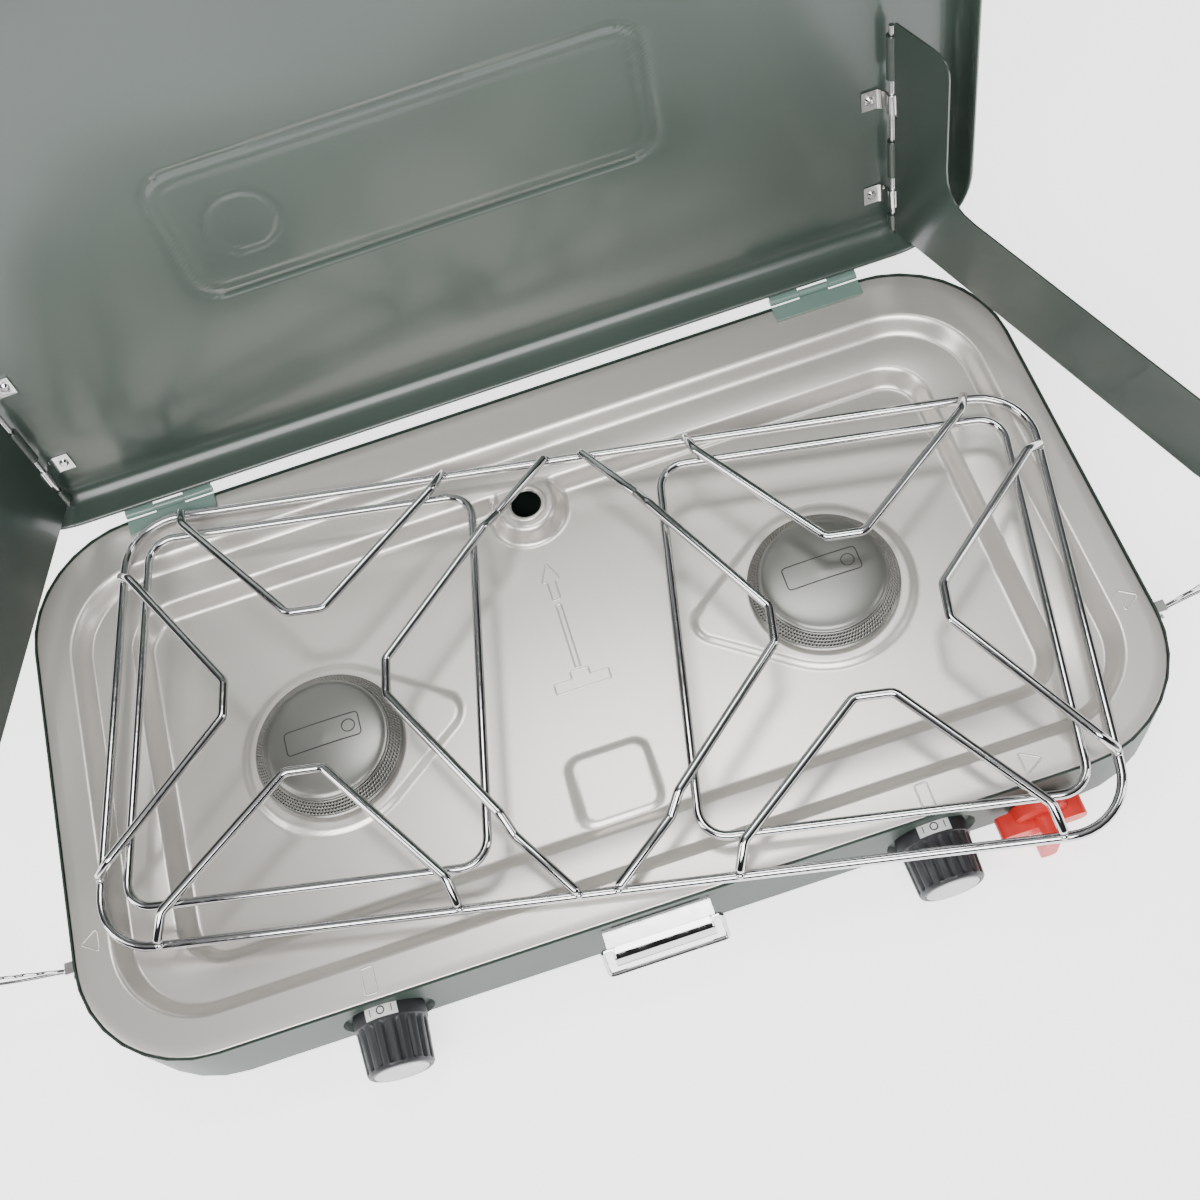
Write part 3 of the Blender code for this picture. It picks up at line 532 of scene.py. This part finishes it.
def perforated(word, at):
    """Conical band with four rows of small holes. Its edges are (radius, height from the rim)."""
    rows, columns = 4, 132
    low, high = (0.0394, -0.0129), (0.0334, -0.0072)
    margin = 0.08
    hole = 0.33
    verts, faces, index = [], [], {}

    def point(row, column):
        t = margin + (1 - 2 * margin) * row / rows
        r, h = [a + (b - a) * t for a, b in zip(low, high)]
        a = 2 * math.pi * (column + 0.5 * row) / columns
        return Vector((at.x + r * math.cos(a), at.y + r * math.sin(a), RIM + h))

    def vertex(row, column):
        key = (round(row, 3), round(column % columns, 3))
        if key not in index:
            index[key] = len(verts)
            verts.append(point(*key))
        return index[key]
    around = [(0, 0), (0, 0.5), (0, 1), (0.5, 1), (1, 1), (1, 0.5), (1, 0), (0.5, 0)]
    for i in range(rows):
        for j in range(columns):
            outer = [vertex(i + a, j + b) for a, b in around]
            inner = []
            for a, b in around:
                d = Vector((a - 0.5, b - 0.5)).normalized() * hole
                inner.append(len(verts))
                verts.append(point(i + 0.5 + d.x, j + 0.5 + d.y))
            for k in range(8):
                m = (k + 1) % 8
                faces.append((outer[k], outer[m], inner[m], inner[k]))
    for row, end in ((0, low), (rows, high)):
        rim = []
        for j in range(2 * columns):
            a = 2 * math.pi * (j / 2 + 0.5 * row) / columns
            rim.append(len(verts))
            verts.append(Vector((at.x + end[0] * math.cos(a), at.y + end[0] * math.sin(a), RIM + end[1])))
        for j in range(2 * columns):
            m = (j + 1) % (2 * columns)
            faces.append((vertex(row, j / 2), vertex(row, m / 2), rim[m], rim[j]))
    ob = piece("flame_ring_" + word, verts, faces, PRESSED, "base",
               ("burner_ring_" + word,), 40)
    thick = ob.modifiers.new("sheet", "SOLIDIFY")
    thick.thickness = 0.0005
    thick.offset = -1 if ob.data.polygons[0].normal.z > 0 else 1


def burner(side, word):
    at = Vector((side * BURNER.x, BURNER.y, RIM))
    up = (0, 0, 1)
    bowl = [(0.0120, -0.0285), (0.0120, -0.0195), (0.0130, -0.0186), (0.0260, -0.0178), (0.0340, -0.0166),
            (0.0385, -0.0156), (0.0396, -0.0152), (0.0400, -0.0146), (0.0399, -0.0139), (0.0392, -0.0135),
            (0.0384, -0.0138), (0.0376, -0.0146), (0.0256, -0.0168), (0.0108, -0.0180), (0.0108, -0.0285)]
    lathe("burner_dish_" + word, bowl, at, up, PRESSED, "base",
          ("burner_bowl_" + word,), closed=True, degrees=30)
    perforated(word, at)
    dome = [(0.0316, -0.0086), (0.0316, -0.0070), (0.0331, -0.0069), (0.0334, -0.0066), (0.0334, -0.0062),
            (0.0330, -0.0059), (0.0323, DOME_FOOT)]
    for degrees in range(6, 90, 6):
        t = math.radians(degrees)
        dome.append((DOME_RADIUS * math.cos(t), DOME_FOOT + DOME_RISE * math.sin(t)))
    dome.append((0.0006, -0.0027))
    lathe("burner_dome_" + word, dome, at, up, PRESSED, "base",
          ("burner_cap_" + word,), degrees=24)
    outline = arc_profile([(x, y, 0) for x, y in oblong(0, 0, 0.0200, 0.0066)], 0.0024, 5, True)
    on_dome("burner_badge_" + word, refine(outline), at, 0.00028)
    on_dome("burner_badge_ring_" + word, circle((0.0140, 0), 0.0034, 24), at, 0.00024)


def on_dome(name, outline, at, radius):
    """A thin dark line laid on a burner's domed cap."""
    pts = []
    for p in outline:
        x, y = p.x, p.y + BADGE_AT
        pts.append(Vector((at.x + x, at.y + y, dome_height(x, y))))
    wire(name, pts, radius, INK, "base", closed=True, resolution=2)


def dome_height(x, y):
    """Height just over the burner's domed cap, at a point seen from the cap's middle."""
    share = min(1.0, math.hypot(x, y) / DOME_RADIUS)
    return RIM + DOME_FOOT + DOME_RISE * math.sqrt(1 - share * share) + BADGE_LIFT


def refine(points):
    """More points along straight stretches of a closed outline."""
    out = []
    for a, b in zip(points, points[1:] + points[:1]):
        count = max(1, int((b - a).length / BADGE_STEP))
        out += [a + (b - a) * k / count for k in range(count)]
    return out


# ---- lid --------------------------------------------------------------------------------
def on_lid(x, u, n):
    return Vector((x, 0, 0)) + PIVOT + UP * u + OUT * n


BADGE_MID = 0.1560                        # the badge's middle, up the lid
BADGE_OUTER = (0.1230, 0.0400, 0.0160)    # half width, half height, corner radius
BADGE_INNER = (0.1170, 0.0340, 0.0120)
BADGE_RING_X = -0.0850
BADGE_RING_RADIUS = 0.0180
BEAD_OUTER = (0.0022, 0.0011)             # half width and depth of a pressed line
BEAD_INNER = (0.0016, 0.0005)
BEAD_RING = (0.0016, 0.0006)
LID_WAVE = 0.00045
LID_RING = 0.0019                         # distance between the rings of points on the lid's panel
LID_CORNER = 0.045


def bead(distance, half_width, depth):
    """Depth of a pressed line, which is 0 away from it."""
    return depth * (1 - ramp(abs(distance) / half_width))


def lid_relief(x, u):
    """Beads of the plain badge, pressed outward, and a gentle waviness of the big panel."""
    outer = bead(box_distance(x, u, 0, BADGE_MID, *BADGE_OUTER), *BEAD_OUTER)
    inner = bead(box_distance(x, u, 0, BADGE_MID, *BADGE_INNER), *BEAD_INNER)
    ring = bead(math.hypot(x - BADGE_RING_X, u - BADGE_MID) - BADGE_RING_RADIUS, *BEAD_RING)
    badge = outer + inner + ring
    edge = min(1.0, max(0.0, (0.2600 - abs(x)) / 0.06)) * min(1.0, max(0.0, (0.1400 - abs(u - 0.160)) / 0.05))
    wave = LID_WAVE * math.sin(x * 31 + 1.3 * math.sin(u * 24)) * math.sin(u * 27 + 0.7) * edge
    return wave - badge


def lid():
    hy = LID_HEIGHT / 2 - 0.0002
    back = -LID_DEPTH - SHEET

    def loop(inset, n, least=0.0040):
        corner = max(LID_CORNER - inset, least)
        ring = rounded(LID_HALF_W - 0.0001 - inset, hy - inset, corner, 0, 0, 130, 70, 14)
        return [(p.x, p.y + LID_LOW + LID_HEIGHT / 2, n) for p in ring]

    def panel(first, n):
        """Rings across the flat of the lid, which close into a line."""
        rings = []
        inset = first + LID_RING
        while inset < hy - 0.0020:
            rings.append(loop(inset, n, 0.0012))
            inset += LID_RING
        rings.append(loop(hy, n, 0.0))
        return [[on_lid(x, u, n + lid_relief(x, u)) for x, u, _ in ring] for ring in rings]
    section = [(0.0180, back), (0.0135, back + 0.0002), (0.0100, back + 0.0010), (0.0070, back + 0.0026),
               (0.0050, back + 0.0048), (0.0036, back + 0.0080), (0.0018, -0.0048), (0.0004, -0.0034),
               (0.0, -0.0022), (0.0001, -0.0011), (0.0006, -0.0003), (0.0014, 0.0), (0.0021, -0.0003),
               (0.0026, -0.0010), (0.0030, -0.0022), (0.0034, -0.0040), (0.0052, back + 0.0088),
               (0.0068, back + 0.0058), (0.0092, back + 0.0034), (0.0118, back + 0.0018),
               (0.0145, -LID_DEPTH + 0.0002), (0.0190, -LID_DEPTH)]
    placed = []
    for k, (inset, depth) in enumerate(section):
        pressed = 1 if k >= len(section) - 2 else 0
        placed.append([on_lid(x, u, n + pressed * lid_relief(x, u)) for x, u, n in loop(inset, depth)])
    placed += panel(0.0190, -LID_DEPTH)
    verts, faces = skin(placed)
    back_verts, back_faces = skin([placed[0]] + panel(0.0180, back))
    ring = len(placed[0])
    shift = len(verts) - ring
    verts += back_verts[ring:]
    for face in back_faces:
        faces.append(tuple(i if i < ring else i + shift for i in face))
    piece("lid_pan", verts, faces, LID_GREEN, "lid", ("lid_shell",), 40)


# ---- grate ------------------------------------------------------------------------------
WIRE = 0.00248
LOOP_WIRE = 0.0023
GRATE_TURN = math.radians(-11.75)
GRATE_AT = Vector((0.0028, -0.0203, RIM + 0.0041))
GRATE_HW = 0.2488
GRATE_HD = 0.1215
GRATE_RISE = 0.0120
COOK_X = 0.1415
WELD_GAP = 0.0003
WELD_Y = 0.0850                           # where an outer arm meets the frame's short side
LOOP_HALF_W = 0.0905
LOOP_HALF_D = 0.1035


def grate_wire(name, path, radius, node, closed=False):
    place = Matrix.Translation(GRATE_AT) @ Matrix.Rotation(GRATE_TURN, 4, "Z")
    pts = [place @ Vector(p) for p in path]
    wire(name, pts, radius, CHROME, "grate", (node,), closed, 5)


def mirrored(half):
    """A path across the grate from half of it: the rest is the same with y turned round."""
    return half + [(x, -y, z) for x, y, z in reversed(half)]


def grate():
    outline = rounded(GRATE_HW, GRATE_HD, 0.030, 0, 0, 2, 2, 10)
    grate_wire("wire_outer_frame", outline, WIRE, "grate_outer_frame", True)
    low = GRATE_RISE - WIRE - LOOP_WIRE - WELD_GAP
    rest = 2 * WIRE + WELD_GAP
    top, hd = GRATE_RISE, GRATE_HD
    for side, word in SIDES:
        c = side * COOK_X
        ring = [(p.x + c, p.y, low) for p in rounded(LOOP_HALF_W, LOOP_HALF_D, 0.014, 0, 0, 2, 2, 8)]
        grate_wire("wire_loop_" + word, ring, LOOP_WIRE, "grate_loop_" + word, True)
        for fy, where in ((1, "rear"), (-1, "front")):
            half = [(0.0745, fy * hd, rest), (0.0705, fy * 0.1085, top), (0.0098, fy * 0.0445, top)]
            pts = [(c - x, y, z) for x, y, z in half] + [(c + x, y, z) for x, y, z in reversed(half)]
            name = "arm_%s_%s" % (where, word)
            grate_wire("wire_" + name, arc_profile(pts, 0.006, 6), WIRE, "grate_" + name)
        e, tip, far = side * GRATE_HW, c + side * 0.0430, c + side * 0.0990
        pts = mirrored([(e, WELD_Y, rest), (far, 0.0790, top), (tip, 0.0100, top)])
        grate_wire("wire_arm_outer_" + word, arc_profile(pts, 0.006, 6), WIRE, "grate_arm_outer_" + word)
        tip, far, mid = c - side * 0.0430, c - side * 0.0980, side * 0.0095
        pts = mirrored([(mid, hd, rest), (far - side * 0.0055, 0.0900, rest + 0.0002), (far, 0.0800, top),
                        (tip, 0.0100, top)])
        grate_wire("wire_arm_inner_" + word, arc_profile(pts, 0.005, 6), WIRE, "grate_arm_inner_" + word)
        welds = [(c - 0.0745, hd), (c + 0.0745, hd), (c - 0.0745, -hd), (c + 0.0745, -hd), (e, WELD_Y),
                 (e, -WELD_Y), (mid, hd), (mid, -hd)]
        for k, (x, y) in enumerate(welds):
            weld_bead("weld_%s_%d" % (word, k + 1), x, y)


def weld_bead(name, x, y):
    """A small flattened weld bead between two wires."""
    place = Matrix.Translation(GRATE_AT) @ Matrix.Rotation(GRATE_TURN, 4, "Z")
    turns = [math.radians(a) for a in range(-80, 81, 20)]
    profile = [(0.0022 * math.cos(t), 0.0015 * math.sin(t)) for t in turns]
    lathe(name, profile, place @ Vector((x, y, WIRE)), (0, 0, 1), CHROME, "grate", n=20,
          degrees=50)


# ---- knobs, igniter, latch, stays -------------------------------------------------------
COLLAR = 0.01825                          # radius of the label on a knob's collar
LABEL_LIFT = 0.0001
FLUTES = 18
FLUTE_DEPTH = 0.0011
FLUTES_FROM = 0.0088
FLUTES_TO = 0.0300


def flute(a, r, h):
    """Radius of a knob's grip with its grooves cut in, which fade out at both ends."""
    if r < 0.0158 or not FLUTES_FROM < h < FLUTES_TO:
        return r
    share = min(1.0, (h - FLUTES_FROM) / 0.0016, (FLUTES_TO - h) / 0.0016)
    return r - FLUTE_DEPTH * share * (0.5 - 0.5 * math.cos(FLUTES * a)) ** 3


def on_collar(at, turn, along):
    """A point just over the label on a knob's collar."""
    r = COLLAR + LABEL_LIFT
    return at + Vector((r * math.sin(turn), -along, r * math.cos(turn)))


def knob(side, word):
    at = Vector((side * KNOB.x, KNOB_BACK, KNOB.z))
    body = "knob_" + word
    heights = [0.0094, 0.0102, 0.0120, 0.0160, 0.0200, 0.0240, 0.0270, 0.0286, 0.0294]
    profile = [(0.0037, 0.0200), (0.0037, 0.0), (0.0150, 0.0), (0.0175, 0.0003), (0.0180, 0.0010),
               (0.0181, 0.0076), (0.0180, 0.0082), (0.0176, 0.0086)]
    profile += [(0.0175 - (h - 0.0090) * 0.045, h) for h in heights]
    profile += [(0.0161, 0.0301), (0.0157, 0.0307), (0.0150, 0.0311), (0.0140, 0.0311), (0.0137, 0.0308),
                (0.0136, 0.0297)]
    lathe("knob_grip_" + word, profile, at, (0, -1, 0), CHARCOAL, body,
          ("control_knob_" + word,), n=288, wave=flute, degrees=28)
    patch("knob_label_" + word, at, 0.0010, 0.0076, 26, COLLAR, WHITE, body)
    ring = [on_collar(at, p.x / 0.0182, 0.0043 + p.y) for p in circle((0, 0), 0.0018, 20)]
    wire("knob_label_ring_" + word, ring, 0.00030, INK, body, closed=True, resolution=2)
    for degrees, where in ((-17, "left"), (17, "right")):
        line = [on_collar(at, math.radians(degrees), d) for d in (0.0026, 0.0040, 0.0060)]
        wire("knob_label_tick_%s_%s" % (where, word), line, 0.00022, INK, body, resolution=2)


def patch(name, at, near, far, half_angle, radius, mat, body):
    """A thin curved plate wrapped over the top of a knob's collar."""
    verts, faces = [], []
    steps = 14
    for r in (radius, radius - 0.0004):
        for y in (near, far):
            for k in range(steps + 1):
                a = math.radians(-half_angle + 2 * half_angle * k / steps)
                verts.append(at + Vector((r * math.sin(a), -y, r * math.cos(a))))
    row = steps + 1
    for k in range(steps):
        faces.append((k, k + 1, row + k + 1, row + k))
        faces.append((2 * row + k, 3 * row + k, 3 * row + k + 1, 2 * row + k + 1))
        faces.append((k, 2 * row + k, 2 * row + k + 1, k + 1))
        faces.append((row + k, row + k + 1, 3 * row + k + 1, 3 * row + k))
    faces.append((0, row, 3 * row, 2 * row))
    faces.append((steps, 2 * row + steps, 3 * row + steps, row + steps))
    piece(name, verts, faces, mat, body, degrees=40)


def stay(side, word):
    """Two thin wires from a small eye: the upper one is crimped into waves."""
    low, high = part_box("stay_bracket_" + word)
    base = Vector((side * (HALF_W + 0.0046), (low.y + high.y) / 2, (low.z + high.z) / 2))
    back = math.radians(10)
    d = Vector((side * math.cos(back), math.sin(back), 0))
    length, spread, steps = 0.1050, 0.0046, 150
    start, narrow = 0.0030, 0.0014
    crimp_height, crimp_pitch = 0.00045, 0.0105
    upper, lower = [], []
    for k in range(steps + 1):
        s = start + (length - start) * k / steps
        h = narrow + (spread - narrow) * ramp(s / 0.034)
        ends = ramp(s / 0.02) * ramp((length - s) / 0.01)
        crimp = crimp_height * math.sin(2 * math.pi * s / crimp_pitch) * ends
        upper.append(base + d * s + Vector((0, 0, h + crimp)))
        if k % 10 == 0:
            lower.append(base + d * s - Vector((0, 0, h)))
    tip = []
    for degrees in range(15, 180, 15):
        a = math.radians(degrees)
        tip.append(base + d * (length + spread * math.sin(a)) + Vector((0, 0, spread * math.cos(a))))
    wire("stay_wire_" + word, upper + tip + lower[::-1], 0.0009, CHROME, "stay_" + word,
         ("side_stay_" + word,))
    eye = [(0.0012, 0.0036), (0.0020, 0.0036), (0.0022, 0.0033), (0.0022, -0.0033), (0.0020, -0.0036),
           (0.0012, -0.0036)]
    lathe("stay_eye_" + word, eye, base, (0, 0, 1), CHROME, "stay_" + word, n=40)


# ---- CAD nodes that keep their own mesh --------------------------------------------------
LOOKS = {
    "green_paint": CASE_GREEN, "light_green_paint": TEAL, "deck_steel": DECK, "pressed_steel": PRESSED,
    "chromed_steel": CHROME, "zinc_steel": ZINC, "brass": BRASS, "black_plastic": CHARCOAL,
    "grey_plastic": DISC_GREY, "red_plastic": RED, "ceramic": CERAMIC, "rubber": RUBBER}
SOFT_EDGES = {"igniter_knob": 0.0010, "wind_guard_left": 0.0003, "wind_guard_right": 0.0003}
WELD_REACH = 0.00001
SHARP_ANGLE = 35                          # degrees between faces


def dress_nodes():
    """Materials for the CAD nodes. They come as loose triangles, so they are welded to look smooth."""
    slots = {s["node"]: s["material_slot"] for s in frame["record"]["subparts"]}
    for name, ob in NODES.items():
        mat = LOOKS[slots[name]]
        if name.startswith("wind_guard"):
            mat = GUARD_GREEN
        if name == "latch_bracket":
            mat = LATCH_WHITE
        ob.data.materials.clear()
        ob.data.materials.append(mat)
        ob.data.shade_smooth()
        weld = ob.modifiers.new("weld", "WELD")
        weld.merge_threshold = WELD_REACH
        if name in SOFT_EDGES:
            soften(ob, SOFT_EDGES[name])
        split = ob.modifiers.new("sharp_edges", "EDGE_SPLIT")
        split.split_angle = math.radians(SHARP_ANGLE)
        split.use_edge_sharp = False
        ob.modifiers.new("normals", "WEIGHTED_NORMAL")


# ---- studio -----------------------------------------------------------------------------
FLOOR_HALF = 6.0
FLOOR_GLOW = 2.0
SKY_STRENGTH = 0.9
LIGHTS = (("key", (-0.35, -1.25, 1.75), (1.7, 1.1), 58), ("left_bank", (-1.9, -0.1, 1.0), (0.5, 1.8), 17),
          ("right_bank", (1.8, -0.5, 1.0), (0.4, 1.4), 8), ("overhead", (0.1, 0.6, 2.1), (0.9, 0.4), 12))
SKY = ((0.0, 0.60), (0.10, 0.45), (0.22, 0.04), (0.60, 0.03), (0.82, 0.15), (0.93, 0.48), (1.0, 0.80))


def studio():
    mat = principled("studio_floor", (0.94, 0.94, 0.94), 0.6)
    vary_roughness(mat, 3, 0.55, 0.65)
    glow = mat.node_tree.nodes["Principled BSDF"].inputs
    glow["Emission Color"].default_value = (1, 1, 1, 1)
    glow["Emission Strength"].default_value = FLOOR_GLOW
    verts = [(x, y, FLOOR_Z) for x, y in oblong(0, 0, FLOOR_HALF, FLOOR_HALF)]
    mesh = bpy.data.meshes.new("studio_floor")
    mesh.from_pydata(verts, [], [(0, 1, 2, 3)])
    mesh.materials.append(mat)
    floor = bpy.data.objects.new("studio_floor", mesh)
    bpy.context.scene.collection.objects.link(floor)
    sky()
    for name, at, size, power in LIGHTS:
        light = bpy.data.lights.new(name, "AREA")
        light.shape = "RECTANGLE"
        light.size, light.size_y = size
        light.energy = power
        ob = bpy.data.objects.new(name, light)
        ob.location = at
        ob.rotation_mode = "QUATERNION"
        ob.rotation_quaternion = (Vector((0, 0, RIM)) - Vector(at)).to_track_quat("-Z", "Y")
        bpy.context.scene.collection.objects.link(ob)


def sky():
    """A grey surround, light low down and overhead and dark between, for dark lines along the wires."""
    world = bpy.data.worlds.new("studio_world")
    world.use_nodes = True
    tree = world.node_tree
    coord = tree.nodes.new("ShaderNodeTexCoord")
    split = tree.nodes.new("ShaderNodeSeparateXYZ")
    greys = tree.nodes.new("ShaderNodeValToRGB")
    while len(greys.color_ramp.elements) < len(SKY):
        greys.color_ramp.elements.new(0.5)
    for element, (place, grey) in zip(greys.color_ramp.elements, SKY):
        element.position = place
        element.color = (grey, grey, grey, 1)
    tree.links.new(coord.outputs["Generated"], split.inputs["Vector"])
    tree.links.new(split.outputs["Z"], greys.inputs["Fac"])
    tree.links.new(greys.outputs["Color"], tree.nodes["Background"].inputs["Color"])
    tree.nodes["Background"].inputs["Strength"].default_value = SKY_STRENGTH
    bpy.context.scene.world = world


def camera():
    """High in front, looking down at 62 degrees, rolled to the right."""
    eye = Vector((0.0211, -0.3525, RIM + 0.6928))
    forward = Vector((0.00115, 0.46493, -0.88535)).normalized()
    roll = math.radians(-18.22)
    right = forward.cross(Vector((0, 0, 1))).normalized()
    up = right.cross(forward)
    side = right * math.cos(roll) + up * math.sin(roll)
    top = side.cross(forward)
    turn = Matrix((side, top, -forward)).transposed()
    data = bpy.data.cameras.new("camera")
    data.lens = 45
    data.sensor_width = 36
    data.clip_start = 0.01
    ob = bpy.data.objects.new("camera", data)
    ob.matrix_world = Matrix.Translation(eye) @ turn.to_4x4()
    bpy.context.scene.collection.objects.link(ob)
    bpy.context.scene.camera = ob


# ---- assembly ---------------------------------------------------------------------------
dress_nodes()
deck()
deck_marks()
lid()
grate()
for SIDE, WORD in SIDES:
    burner(SIDE, WORD)
    knob(SIDE, WORD)
    stay(SIDE, WORD)
studio()
camera()
bpy.context.view_layer.update()
